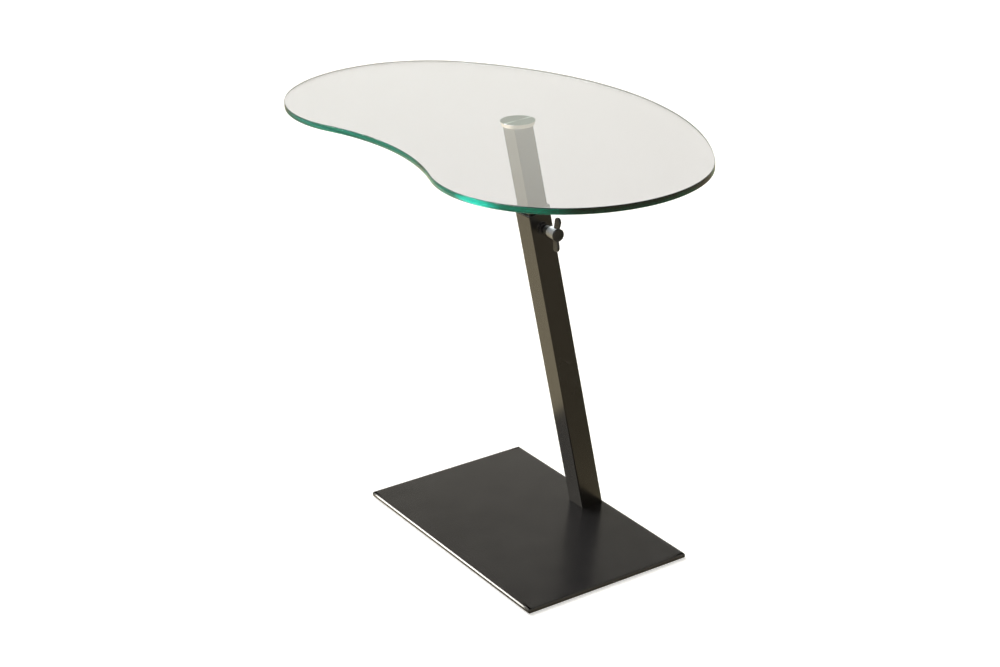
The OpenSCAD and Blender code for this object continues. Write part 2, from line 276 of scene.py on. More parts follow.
# clear body with its colour inside; lamps shine through it, so that it casts a pale shadow
def makeGlass(name, look, tint, roughness, wave):
    material, tree = emptyMaterial(name)
    shader = addNode(tree, "ShaderNodeBsdfPrincipled",
                     {"Base Color": toLinear(tint), "Roughness": roughness, "IOR": look["ior"],
                      "Transmission Weight": 1.0})
    if wave:
        where = addNode(tree, "ShaderNodeTexCoord").outputs["Object"]
        waves = addNode(tree, "ShaderNodeTexNoise",
                        {"Vector": where, "Scale": 1 / (wave * mm), "Detail": 2.0})
        bump = addNode(tree, "ShaderNodeBump",
                       {"Height": waves.outputs[0], "Strength": look["waveStrength"],
                        "Distance": look["waveHeight"] * mm})
        tree.links.new(bump.outputs[0], shader.inputs["Normal"])
    passing = addNode(tree, "ShaderNodeBsdfTransparent", {"Color": (look["shade"],) * 3 + (1.0,)})
    path = addNode(tree, "ShaderNodeLightPath")
    mixed = addNode(tree, "ShaderNodeMixShader",
                    {0: path.outputs["Is Shadow Ray"], 1: shader.outputs[0], 2: passing.outputs[0]})
    inside = addNode(tree, "ShaderNodeVolumeAbsorption",
                     {"Color": look["absorb"], "Density": look["density"]})
    addNode(tree, "ShaderNodeOutputMaterial",
            {"Surface": mixed.outputs[0], "Volume": inside.outputs[0]})
    return material


# float glass: clear, even faces, and an edge ground and polished by hand that shows the green of the body
clearFace = makeGlass("floatGlassFace", floatGlass, floatGlass["faceTint"], 0.0, 0)
polishedEdge = makeGlass("floatGlassPolishedEdge", floatGlass, floatGlass["edgeTint"],
                         floatGlass["edgeRoughness"], floatGlass["edgeWave"])
dress(glass, clearFace, polishedEdge)
flatFace = np.array([abs(p.normal.z) for p in glass.data.polygons]) > levelFrom
glass.data.polygons.foreach_set("material_index", np.where(flatFace, 0, 1).astype(np.int32))

# the swivel disc

swivelDisc = {
    "radius": 24.0 * mm, "lowerRadius": 22.0 * mm, "bottom": 603.8 * mm, "centreY": 17.0 * mm,
    "top": 610.03 * mm,    # a hair inside the glass, as bonded metal looks through it
    "rim": 0.2 * mm, "lowerRound": 0.7 * mm,
    "boltRadius": 3.0 * mm, "boltDepth": 5.0 * mm, "boltSink": 0.4 * mm,
}
discHeight = swivelDisc["top"] - swivelDisc["bottom"]
# profile: flat face, sharp rim, a side that tapers inwards to a rounded lower edge, and the bolt's hole
discProfile = np.concatenate([
    [[0, discHeight], [swivelDisc["radius"] * 0.5, discHeight],
     [swivelDisc["radius"] - swivelDisc["rim"], discHeight],
     [swivelDisc["radius"], discHeight - swivelDisc["rim"]]],
    roundArc((swivelDisc["lowerRadius"] - swivelDisc["lowerRound"], swivelDisc["lowerRound"]),
             swivelDisc["lowerRound"], 0, -90, 5),
    [[swivelDisc["boltRadius"] + swivelDisc["boltSink"], 0],
     [swivelDisc["boltRadius"], swivelDisc["boltSink"]],
     [swivelDisc["boltRadius"], swivelDisc["boltDepth"]], [0, swivelDisc["boltDepth"]]],
])
discPlace = Matrix.Translation((0, swivelDisc["centreY"], swivelDisc["bottom"]))
points, faces = turned(discProfile, discPlace, around=128)
disc = makePiece("glassDisc", points, faces, "top", ["glass_disc", "bond_film"], crease=25)
print("swivel disc:", len(points), "points")


# turned aluminium: fine rings round the middle as a relief, and a painted highlight in the base colour: the
# streak of light that such rings draw across the face, painted as |sin(t - turn)| of the angle t round the
# middle, bright where it is small
def makeTurnedWithPaintedStreak(name, look, centre):
    material, tree = emptyMaterial(name)
    where = addNode(tree, "ShaderNodeTexCoord").outputs["Object"]
    local = addNode(tree, "ShaderNodeMapping",
                    {"Vector": where, "Location": (-centre[0], -centre[1], -centre[2])})
    parts = addNode(tree, "ShaderNodeSeparateXYZ", {0: local.outputs[0]})
    flat = addNode(tree, "ShaderNodeCombineXYZ", {0: parts.outputs[0], 1: parts.outputs[1]})
    radius = addNode(tree, "ShaderNodeVectorMath", {0: flat.outputs[0]}, operation="LENGTH")
    rings = addNode(tree, "ShaderNodeMath",
                    {0: radius.outputs["Value"], 1: 2 * math.pi / (look["pitch"] * mm)},
                    operation="MULTIPLY")
    wave = addNode(tree, "ShaderNodeMath", {0: rings.outputs[0]}, operation="SINE")
    angle = addNode(tree, "ShaderNodeMath", {0: parts.outputs[1], 1: parts.outputs[0]}, operation="ARCTAN2")
    turnedBy = addNode(tree, "ShaderNodeMath", {0: angle.outputs[0], 1: math.radians(look["paintedStreakTurn"])},
                       operation="SUBTRACT")
    sine = addNode(tree, "ShaderNodeMath", {0: turnedBy.outputs[0]}, operation="SINE")
    aside = addNode(tree, "ShaderNodeMath", {0: sine.outputs[0]}, operation="ABSOLUTE")
    # painted highlight: a lighter streak painted into the base colour along one line through the middle
    paintedStreak = addNode(tree, "ShaderNodeMapRange",
                     {0: aside.outputs[0], 1: 0.0, 2: look["paintedStreakWidth"], 3: 1.0, 4: 0.0},
                     interpolation_type="SMOOTHSTEP")
    colour = addNode(tree, "ShaderNodeMix",
                     {0: paintedStreak.outputs[0], 6: toLinear(look["dark"]), 7: toLinear(look["light"])},
                     data_type="RGBA")
    bump = addNode(tree, "ShaderNodeBump",
                   {"Height": wave.outputs[0], "Strength": look["strength"],
                    "Distance": look["relief"] * mm})
    shader = addNode(tree, "ShaderNodeBsdfPrincipled",
                     {"Base Color": colour.outputs[2], "Metallic": 1.0, "Roughness": look["roughness"],
                      "Normal": bump.outputs[0]})
    addNode(tree, "ShaderNodeOutputMaterial", {"Surface": shader.outputs[0]})
    return material


# the rings are coarser than real ones, so that they show; the painted highlight streak takes the light
# colour, and its turn is in degrees
turnedLookWithPaintedStreak = {"dark": "#9AA098", "light": "#DCE6DB", "roughness": 0.28, "pitch": 0.8, "strength": 0.3,
              "relief": 0.02, "paintedStreakTurn": 97.0, "paintedStreakWidth": 0.16}
turnedFaceWithPaintedStreak = makeTurnedWithPaintedStreak("turnedAluminiumPaintedStreak", turnedLookWithPaintedStreak, (0, swivelDisc["centreY"], 0))
# polished aluminium: the side of the disc mirrors the pale room
polishedSide = makeFinish("polishedAluminiumSide", {
    "dark": "#EDEFF6", "light": "#FAFBFF", "cloud": 9.0, "grain": 0.6, "roughness": (0.12, 0.20),
    "strength": 0.05, "relief": 0.02, "metallic": 1.0})
dress(disc, turnedFaceWithPaintedStreak, polishedSide)
upward = np.array([p.normal.z for p in disc.data.polygons]) > levelFrom
disc.data.polygons.foreach_set("material_index", np.where(upward, 0, 1).astype(np.int32))

# the base plate

basePlate = {
    "width": 427 * mm, "depth": 266 * mm, "thickness": 6 * mm, "underside": 2 * mm, "centreY": 9.309 * mm,
    "cornerRadius": 2.0 * mm, "arris": 0.4 * mm, "lowerRound": 0.8 * mm, "belt": 3.0 * mm,
    "bevelRise": 2.0 * mm, "bevelRun": 1.0 * mm,     # upper part of the sides, which leans inwards
    "flatShare": 0.85,                # share of the bevel that is shaded flat
    "bevelSlope": (0.2, 0.7),         # upward part of a face's normal on the bevel
    "screwX": 8 * mm, "screwY": 120.809 * mm, "holeRadius": 3.2 * mm,      # two countersunk holes
    "sinkRadius": 6.2 * mm, "sinkRim": 0.3 * mm,
}


# edge profile of the plate, from below: belt, round lower arris, upright side, leaning bevel, small arris,
# belt
def bevelledEdge(plate):
    top, run, rise = plate["thickness"], plate["bevelRun"], plate["bevelRise"]
    lower = roundArc((plate["lowerRound"], plate["lowerRound"]), plate["lowerRound"], 270, 180, 5)
    lean = math.atan2(run, rise)
    bend = top - rise - plate["arris"] * (1 - math.sin(lean))
    centre = (run + plate["arris"] * math.cos(lean), top - plate["arris"])
    upper = roundArc(centre, plate["arris"], 180 - math.degrees(lean), 90, 5)
    # a last point on the bevel keeps its shading flat up to the arris
    flatEnd = (1 - plate["flatShare"]) * np.array([0, bend]) + plate["flatShare"] * upper[0]
    return np.concatenate([[[plate["belt"], 0]], lower, [[0, bend]], [flatEnd], upper,
                           [[plate["belt"] + 2 * run, top]]])


outline, normals = roundedRectangle(basePlate["width"], basePlate["depth"], basePlate["cornerRadius"])
edge = bevelledEdge(basePlate)
sinkEnd = basePlate["sinkRim"] + basePlate["sinkRadius"] - basePlate["holeRadius"]
sink = [[basePlate["sinkRadius"], 0], [basePlate["sinkRadius"], basePlate["sinkRim"]],
        [basePlate["holeRadius"], sinkEnd], [basePlate["holeRadius"], basePlate["thickness"]]]
holes = [(side * basePlate["screwX"], basePlate["screwY"] - basePlate["centreY"], sink) for side in (-1, 1)]
platePlace = Matrix.Translation((0, basePlate["centreY"], basePlate["underside"]))
points, faces = sheet(outline, normals, edge, platePlace, holes)
plate = makePiece("basePlate", points, faces, "base", ["base_plate"], crease=24)
print("base plate:", len(points), "points")

# polyester powder coat, satin: black, with a faint orange peel that softens what it mirrors
satinCoat = makeFinish("satinBlackPowderCoat", {
    "dark": "#242324", "light": "#282728", "cloud": 40.0, "grain": 2.5, "roughness": (0.19, 0.24),
    "strength": 0.10, "relief": 0.03, "gloss": "#FFF9EC"})
# the coat flows smooth along the bevel, which mirrors a low light as a clean white line
bevelCoat = makeFinish("smoothCoatOnBevel", {
    "dark": "#242324", "light": "#282728", "cloud": 40.0, "grain": 2.5, "roughness": (0.06, 0.09),
    "strength": 0.05, "relief": 0.02, "gloss": "#FFF9EC"})
dress(plate, satinCoat, bevelCoat)
slope = np.array([p.normal.z for p in plate.data.polygons])
onBevel = (slope > basePlate["bevelSlope"][0]) & (slope < basePlate["bevelSlope"][1])
plate.data.polygons.foreach_set("material_index", np.where(onBevel, 1, 0).astype(np.int32))

# floor pads

floorPad = {"radius": 11 * mm, "thickness": 2 * mm, "round": 0.6 * mm, "inset": 25 * mm}
padProfile = np.concatenate([
    [[0, 0]],
    roundArc((floorPad["radius"] - floorPad["round"], floorPad["round"]), floorPad["round"], -90, 0, 4),
    [[floorPad["radius"], floorPad["thickness"]], [0, floorPad["thickness"]]],
])
padX = basePlate["width"] / 2 - floorPad["inset"]
padY = basePlate["depth"] / 2 - floorPad["inset"]
points, faces = [], []
for sideX in (-1, 1):
    for sideY in (-1, 1):
        padPlace = Matrix.Translation((sideX * padX, basePlate["centreY"] + sideY * padY, 0))
        padPoints, padFaces = turned(padProfile, padPlace, around=48, first=sum(map(len, points)))
        points.append(padPoints)
        faces += padFaces
pads = makePiece("floorPads", np.concatenate(points), faces, "base", ["floor_pads"])
# moulded rubber: matt, with a fine even grain
dress(pads, makeFinish("mouldedBlackRubber", {
    "dark": "#1E1E1E", "light": "#292928", "cloud": 6.0, "grain": 0.5, "roughness": (0.75, 0.9),
    "strength": 0.4, "relief": 0.1}))
print("floor pads:", len(pads.data.vertices), "points")

# the leaning post

post = {"lean": 9.9,     # degrees from upright, towards the front
        "footY": 120.809 * mm, "plateTop": 8 * mm, "clampAt": 461 * mm}
# frame at the foot with its z up the leaning post, and frame on the clamp's axis with its z out along the
# screw
onPost = (Matrix.Translation((0, post["footY"], post["plateTop"]))
          @ Matrix.Rotation(math.radians(post["lean"]), 4, "X"))
onClamp = onPost @ Matrix.Translation((0, 0, post["clampAt"])) @ Matrix.Rotation(math.radians(90), 4, "Y")

# the same powder coat on drawn tube: smoother, and warm where it mirrors at a slant
tubeCoat = makeFinish("satinBlackCoatOnTube", {
    "dark": "#232120", "light": "#262423", "cloud": 60.0, "grain": 2.5, "roughness": (0.17, 0.22),
    "strength": 0.08, "relief": 0.02, "gloss": "#FFF8EA", "ior": 1.53})
for name in ("outer_tube", "inner_tube", "head_plate"):
    dress(nodes[name], tubeCoat)

# moulded nylon: black, slightly rough
nylon = makeFinish("mouldedBlackNylon", {
    "dark": "#161616", "light": "#1D1D1C", "cloud": 8.0, "grain": 0.7, "roughness": (0.45, 0.6),
    "strength": 0.25, "relief": 0.08})
# zinc plated steel: pale, slightly cloudy grey metal
zinc = makeFinish("zincPlatedSteel", {
    "dark": "#A9ACAE", "light": "#C6C8C6", "cloud": 5.0, "grain": 0.5, "roughness": (0.25, 0.42),
    "strength": 0.2, "relief": 0.03, "metallic": 1.0})
for name in ("mouth_guide", "guide_shoe", "swivel_washer", "pressure_pad"):
    dress(nodes[name], nylon)
for name in ("foot_plate", "foot_screws", "pivot_bolt", "spring_washer"):
    dress(nodes[name], zinc)
print("post and hidden pieces dressed")

# clamp boss, screw and knob

clampBoss = {"start": 17.5 * mm, "length": 7 * mm, "radius": 8.5 * mm, "bore": 4.05 * mm, "weld": 1.0 * mm,
             "round": 0.5 * mm}
bossEnd = clampBoss["start"] + clampBoss["length"]
# profile: bore, weld fillet on the tube, rounded outer edge, small chamfer into the bore
bossProfile = np.concatenate([
    [[clampBoss["bore"], clampBoss["start"]]],
    roundArc((clampBoss["radius"] + clampBoss["weld"], clampBoss["start"] + clampBoss["weld"]),
             clampBoss["weld"], 270, 180, 5),
    roundArc((clampBoss["radius"] - clampBoss["round"], bossEnd - clampBoss["round"]),
             clampBoss["round"], 0, 90, 4),
    [[clampBoss["bore"] + clampBoss["round"], bossEnd], [clampBoss["bore"], bossEnd - clampBoss["round"]]],
])
points, faces = turned(bossProfile, onClamp, around=72, closedProfile=True)
boss = makePiece("clampBoss", points, faces, "base", ["clamp_boss"])
dress(boss, satinCoat)

clampScrew = {"tip": 18.6 * mm, "end": 45.5 * mm, "radius": 4.0 * mm, "pitch": 1.25 * mm,
              "depth": 0.62 * mm, "stemRadius": 1.55 * mm, "stemDepth": 4.1 * mm,
              "around": 48, "perTurn": 12,
              "ridgeSlope": 2.6, "rootFlat": 0.15}     # shape of the thread's wave


# thread: the radius rises and falls as a triangle wave of z / pitch - t / (a full turn), flattened at crest
# and root
def threadedRod(screw, place):
    along = np.arange(screw["tip"], screw["end"], screw["pitch"] / screw["perTurn"])
    t = np.linspace(0, 2 * math.pi, screw["around"], endpoint=False)
    phase = (along[:, None] / screw["pitch"] - t[None] / (2 * math.pi)) % 1.0
    ridge = np.clip(np.abs(phase - 0.5) * screw["ridgeSlope"] - screw["rootFlat"], 0, 1)
    fade = np.clip(np.minimum(along - screw["tip"], screw["end"] - along) / screw["pitch"], 0, 1)[:, None]
    core = screw["radius"] - screw["depth"]
    radius = core + screw["depth"] * ridge * fade
    rod = np.stack([radius * np.cos(t), radius * np.sin(t), along[:, None] + 0 * t], axis=-1)
    points, faces = [atPlace(rod, place)], gridFaces(len(along), screw["around"])
    stemEnd = screw["tip"] + screw["stemDepth"]
    stem = [[core, screw["tip"]], [screw["stemRadius"], screw["tip"]],
            [screw["stemRadius"], stemEnd], [0, stemEnd]]
    for profile in (stem, [[core, along[-1]], [0, along[-1]]]):
        ends, endFaces = turned(profile, place, around=screw["around"], first=sum(map(len, points)))
        points.append(ends)
        faces += endFaces
    return np.concatenate(points), faces


points, faces = threadedRod(clampScrew, onClamp)
screw = makePiece("clampScrew", points, faces, "knob", ["clamp_screw"], crease=50)
# steel stud with painted shade: its colour is made dark to paint the shade in the gap between boss and
# knob, with a dull metal gleam on its thread
dress(screw, makeFinish("studSteelPaintedShade", {
    "dark": "#2B2B2A", "light": "#454543", "cloud": 3.0, "grain": 0.6, "roughness": (0.35, 0.5),
    "strength": 0.2, "relief": 0.03, "metallic": 1.0}))

knobHub = {"start": 27.5 * mm, "collar": 10 * mm, "length": 27 * mm,
           "collarRadius": 6.5 * mm, "innerRadius": 8 * mm, "outerRadius": 9 * mm,
           "bore": 4.0 * mm, "boreChamfer": 0.3 * mm, "skin": 0.1 * mm, "round": 0.5 * mm,
           "straightShare": 0.6, "steps": 14}     # the flare's curve
hubStart = knobHub["start"]
hubEnd = hubStart + knobHub["length"]
collarEnd = hubStart + knobHub["collar"]
# behind the step at the collar the hub flares to its outer end, part straight and part as a cosine ease
flare = np.linspace(0, 1, knobHub["steps"])
ease = 0.5 - 0.5 * np.cos(math.pi * flare)
flared = knobHub["straightShare"] * flare + (1 - knobHub["straightShare"]) * ease
flareRadius = (knobHub["innerRadius"] - knobHub["skin"]
               + (knobHub["outerRadius"] - knobHub["innerRadius"]) * flared)
flareHeight = np.linspace(collarEnd + 2 * knobHub["round"], hubEnd - knobHub["round"], len(flare))
hubProfile = np.concatenate([
    [[knobHub["bore"], hubStart + knobHub["boreChamfer"]],
     [knobHub["bore"] + knobHub["boreChamfer"], hubStart]],
    roundArc((knobHub["collarRadius"] - knobHub["round"], hubStart + knobHub["round"]),
             knobHub["round"], -90, 0, 4),
    [[knobHub["collarRadius"], collarEnd]],
    roundArc((knobHub["innerRadius"] - knobHub["skin"] - knobHub["round"], collarEnd + knobHub["round"]),
             knobHub["round"], -90, 0, 4),
    np.stack([flareRadius, flareHeight], axis=-1),
    roundArc((knobHub["outerRadius"] - knobHub["round"], hubEnd - knobHub["round"]),
             knobHub["round"], 30, 90, 3),
    [[knobHub["bore"], hubEnd]],
])
points, faces = turned(hubProfile, onClamp, around=96, closedProfile=True)
hub = makePiece("knobHub", points, faces, "knob", ["knob_hub"])
# nickel chrome on die cast zinc: satin bright, with the uneven gleam of a casting polished by hand
nickel = makeFinish("satinNickelChrome", {
    "dark": "#7F8082", "light": "#AFB0B0", "cloud": 4.0, "grain": 2.2, "roughness": (0.32, 0.42),
    "strength": 0.35, "relief": 0.15, "metallic": 1.0})
# painted shade on the collar at the hub's inner end: its faces get a dark colour that paints the shade in
# the gap by the boss, with a dull gleam
collarPaintedShade = makeFinish("hubCollarPaintedShade", {
    "dark": "#2B2B2A", "light": "#3C3C3A", "cloud": 4.0, "grain": 0.6, "roughness": (0.35, 0.5),
    "strength": 0.2, "relief": 0.03, "metallic": 0.6})
dress(hub, nickel, collarPaintedShade)
# the screw's axis is along X, so that the collar's faces, which take the painted shade, lie below the X of
# its end, less a hair
hair = 0.01 * mm
onCollar = np.array([p.center.x for p in hub.data.polygons]) < collarEnd - hair
hub.data.polygons.foreach_set("material_index", np.where(onCollar, 1, 0).astype(np.int32))

wingGrip = {"turn": -15.1, "span": 48.5 * mm, "width": 12 * mm, "neck": 10 * mm, "thickness": 3.5 * mm,
            "middle": 51 * mm, "flare": 2.5 * mm, "root": 9 * mm, "round": 0.8 * mm, "rim": 1.8 * mm,
            "discRadius": 9 * mm, "discStart": 54.5 * mm, "discThickness": 2.5 * mm, "discRound": 0.5 * mm,
            "discBevel": 0.2 * mm, "dishRadius": 6.4 * mm, "dishDepth": 0.25 * mm, "dishSlope": 0.6 * mm,
            "steps": 61, "tipSteps": 33}


# both wings in one outline, x along them and y out along the screw: two round tips and a neck between them;
# from the hub to the tip the middle line moves out and the neck widens, each as the ease 3e^2 - 2e^3
def wingOutline(wing):
    tipRadius = wing["width"] / 2
    reach = wing["span"] / 2 - tipRadius
    x = np.linspace(reach, -reach, wing["steps"])[1:-1]
    part = np.clip((np.abs(x) - wing["root"] / 2) / (reach - wing["root"] / 2), 0, 1)
    ease = 3 * part ** 2 - 2 * part ** 3
    half = (wing["neck"] + (wing["width"] - wing["neck"]) * ease) / 2
    middle = wing["flare"] * ease
    t = np.radians(np.linspace(-90, 90, wing["tipSteps"]))
    rightTip = np.stack([reach + tipRadius * np.cos(t), wing["flare"] + tipRadius * np.sin(t)], axis=-1)
    leftTip = np.stack([-reach - tipRadius * np.cos(t), wing["flare"] - tipRadius * np.sin(t)], axis=-1)
    outerSide = np.stack([x, middle + half], axis=-1)
    innerSide = np.stack([x[::-1], (middle - half)[::-1]], axis=-1)
    outline = np.concatenate([rightTip, outerSide, leftTip, innerSide])
    along = np.roll(outline, -1, axis=0) - np.roll(outline, 1, axis=0)
    normals = np.stack([along[:, 1], -along[:, 0]], axis=-1)
    return outline, normals / np.linalg.norm(along, axis=1, keepdims=True)


outline, normals = wingOutline(wingGrip)
edge = platedEdge(wingGrip["thickness"], wingGrip["round"], wingGrip["round"], wingGrip["rim"], steps=6)
edge[:, 1] -= wingGrip["thickness"] / 2
# the sheet's own x runs along the wings, its y along the screw and its z across the wing
wingPlace = (onClamp @ Matrix.Rotation(math.radians(wingGrip["turn"]), 4, "Z")
             @ Matrix.Translation((0, 0, wingGrip["middle"])) @ Matrix.Rotation(math.radians(90), 4, "X"))
points, faces = sheet(outline, normals, edge, wingPlace)
discTop = wingGrip["discStart"] + wingGrip["discThickness"]
dishFloor = discTop - wingGrip["dishDepth"]
endProfile = np.concatenate([
    [[0, wingGrip["discStart"]], [wingGrip["discRadius"] - wingGrip["discBevel"], wingGrip["discStart"]]],
    roundArc((wingGrip["discRadius"] - wingGrip["discRound"], discTop - wingGrip["discRound"]),
             wingGrip["discRound"], 0, 90, 4),
    [[wingGrip["dishRadius"] + wingGrip["dishSlope"], discTop], [wingGrip["dishRadius"], dishFloor],
     [0, dishFloor]],
])
endPoints, endFaces = turned(endProfile, onClamp, around=96, first=len(points))
points = np.concatenate([points, endPoints])
grip = makePiece("wingGrip", points, faces + endFaces, "knob", ["wing_grip"])
# enamel on die cast zinc: glossy dark grey, with small bright highlights on its rounded edges
dress(grip, makeFinish("darkGreyEnamel", {
    "dark": "#191919", "light": "#222221", "cloud": 7.0, "grain": 1.2, "roughness": (0.1, 0.18),
    "strength": 0.3, "relief": 0.06}))
print("clamp made")

# floor, light and camera

floorSheet = {
    "half": 9.0,     # metres from the middle to each side
    "colour": "#E2E0DC",
    # light that only the camera, or only rays out of the glass, see added to the floor: it whitens the
    # floor and leaves its shadows
    "lift": 0.6, "liftInGlass": 0.1, "liftTint": "#FFFEFC",
    # far from the object, in metres from the middle, the paper is out of the light: its level there as rays
    # see it that have gone far inside the glass; the last two numbers are the bounces that tell them
    "paperFrom": 1.95, "paperTo": 2.2, "far": 0.25, "insideFrom": 4.0, "insideTo": 7.0,
    # what the satin black mirrors of the floor: a warm pool of light, and the level beyond it. It ends on
    # the knob's side, and all round, at these distances in metres, the last two from the pool's own middle
    "mirrored": 1.2, "mirroredTint": "#FFF1CE", "beyond": 0.42,
    "sideFrom": -0.3, "sideTo": 0.35, "poolAt": (-0.6, -0.3, 0.0), "roundFrom": 0.95, "roundTo": 1.4,
}
half = floorSheet["half"]
mesh = bpy.data.meshes.new("floor")
corners = [(-half, -half, 0), (half, -half, 0), (half, half, 0), (-half, half, 0)]
mesh.from_pydata(corners, [], [(0, 1, 2, 3)])
floor = bpy.data.objects.new("floor", mesh)
bpy.context.scene.collection.objects.link(floor)


# factor 1 for rays that leave the glass after many bounces inside it, and 0 for all others
def fromInside(tree, path, look):
    bounces = addNode(tree, "ShaderNodeMapRange",
                      {0: path.outputs["Ray Depth"], 1: look["insideFrom"], 2: look["insideTo"],
                       3: 0.0, 4: 1.0})
    return addNode(tree, "ShaderNodeMath",
                   {0: bounces.outputs[0], 1: path.outputs["Is Transmission Ray"]},
                   operation="MULTIPLY").outputs[0]


# paper floor: diffuse, plus light for camera and transmission rays; for mirrored rays only the warm pool. A
# ray that leaves the glass counts as glossy too, so that mirrored = glossy * (1 - transmission)
def makeFloor(look):
    material, tree = emptyMaterial("paperFloor")
    path = addNode(tree, "ShaderNodeLightPath")
    lift = addNode(tree, "ShaderNodeMath",
                   {0: path.outputs["Is Camera Ray"], 1: look["lift"]}, operation="MULTIPLY")
    lifts = addNode(tree, "ShaderNodeMath",
                    {0: path.outputs["Is Transmission Ray"], 1: look["liftInGlass"], 2: lift.outputs[0]},
                    operation="MULTIPLY_ADD")
    notGlass = addNode(tree, "ShaderNodeMath",
                       {0: 1.0, 1: path.outputs["Is Transmission Ray"]}, operation="SUBTRACT")
    mirrored = addNode(tree, "ShaderNodeMath",
                       {0: path.outputs["Is Glossy Ray"], 1: notGlass.outputs[0]}, operation="MULTIPLY")
    where = addNode(tree, "ShaderNodeTexCoord").outputs["Object"]
    aside = addNode(tree, "ShaderNodeSeparateXYZ", {0: where})
    distance = addNode(tree, "ShaderNodeVectorMath", {0: where, 1: look["poolAt"]}, operation="DISTANCE")
    fromMiddle = addNode(tree, "ShaderNodeVectorMath", {0: where}, operation="LENGTH")
    farAway = addNode(tree, "ShaderNodeMapRange",
                      {0: fromMiddle.outputs["Value"], 1: look["paperFrom"], 2: look["paperTo"],
                       3: 0.0, 4: 1.0}, interpolation_type="SMOOTHSTEP")
    inGlass = fromInside(tree, path, look)
    isFar = addNode(tree, "ShaderNodeMath", {0: farAway.outputs[0], 1: inGlass}, operation="MULTIPLY")
    inside = addNode(tree, "ShaderNodeMapRange",
                     {0: aside.outputs[0], 1: look["sideFrom"], 2: look["sideTo"], 3: 1.0, 4: 0.0},
                     interpolation_type="SMOOTHSTEP")
    close = addNode(tree, "ShaderNodeMapRange",
                    {0: distance.outputs["Value"], 1: look["roundFrom"], 2: look["roundTo"],
                     3: 1.0, 4: 0.0}, interpolation_type="SMOOTHSTEP")
    both = addNode(tree, "ShaderNodeMath",
                   {0: inside.outputs[0], 1: close.outputs[0]}, operation="MULTIPLY")
    pool = addNode(tree, "ShaderNodeMapRange",
                   {0: both.outputs[0], 1: 0.0, 2: 1.0, 3: look["beyond"], 4: look["mirrored"]})
    paper = addNode(tree, "ShaderNodeBsdfDiffuse", {"Color": toLinear(look["colour"])})
    white = addNode(tree, "ShaderNodeEmission",
                    {"Color": toLinear(look["liftTint"]), "Strength": lifts.outputs[0]})
    warm = addNode(tree, "ShaderNodeEmission",
                   {"Color": toLinear(look["mirroredTint"]), "Strength": pool.outputs[0]})
    lit = addNode(tree, "ShaderNodeAddShader", {0: paper.outputs[0], 1: white.outputs[0]})
    dusk = addNode(tree, "ShaderNodeEmission",
                   {"Color": toLinear(look["liftTint"]), "Strength": look["far"]})
    seen = addNode(tree, "ShaderNodeMixShader",
                   {0: isFar.outputs[0], 1: lit.outputs[0], 2: dusk.outputs[0]})
    whole = addNode(tree, "ShaderNodeMixShader",
                    {0: mirrored.outputs[0], 1: seen.outputs[0], 2: warm.outputs[0]})
    addNode(tree, "ShaderNodeOutputMaterial", {"Surface": whole.outputs[0]})
    return material


dress(floor, makeFloor(floorSheet))

room = {
    # the bright wall: its level, its colour, the elevations in degrees where it begins to fade and ends,
    # its middle direction, and how far to each side it is full and ends
    "wall": 1.18, "wallTint": "#FFFBEE", "wallTop": 19.5, "darkFrom": 29.6,
    "wallTurn": 148.5, "wallHalf": 28.0, "wallEnd": 62.0,
    "dim": 0.2,           # level of the rest of the room
    "allRound": 0.85,     # level of the wall on all other sides, for rays mirrored or bent by a piece
    # the room as rays see it that come out of the glass after going far inside it: its levels low down and
    # above, and the elevations where the one ends and the other begins
    "through": 0.62, "throughTint": "#FFFDD8", "throughTop": 24.0, "throughEnd": 36.0, "throughDim": 0.5,
    "insideFrom": 4.0, "insideTo": 7.0,      # bounces
    # a window there, seen by such rays: its level, direction and height in degrees, and the angles from its
    # middle at which it is full and ends
    "window": 5.2, "windowTurn": 151.0, "windowUp": 19.0, "windowHalf": 1.5, "windowEnd": 9.0,
}


# factor 1 below one elevation and 0 above another, for a direction whose upward part is given
def belowElevation(tree, up, full, none):
    return addNode(tree, "ShaderNodeMapRange",
                   {0: up, 1: math.sin(math.radians(full)), 2: math.sin(math.radians(none)),
                    3: 1.0, 4: 0.0}, interpolation_type="SMOOTHSTEP").outputs[0]


# factor that is full inside one angle from a direction and 0 beyond another
def patch(tree, direction, look, name):
    turn, rise = math.radians(look[name + "Turn"]), math.radians(look[name + "Up"])
    toMiddle = addNode(tree, "ShaderNodeVectorMath",
                       {0: direction, 1: (math.cos(turn) * math.cos(rise), math.sin(turn) * math.cos(rise),
                                          math.sin(rise))}, operation="DOT_PRODUCT")
    return addNode(tree, "ShaderNodeMapRange",
                   {0: toMiddle.outputs["Value"], 1: math.cos(math.radians(look[name + "End"])),
                    2: math.cos(math.radians(look[name + "Half"])), 3: 0.0, 4: look[name]},
                   interpolation_type="SMOOTHSTEP").outputs[0]


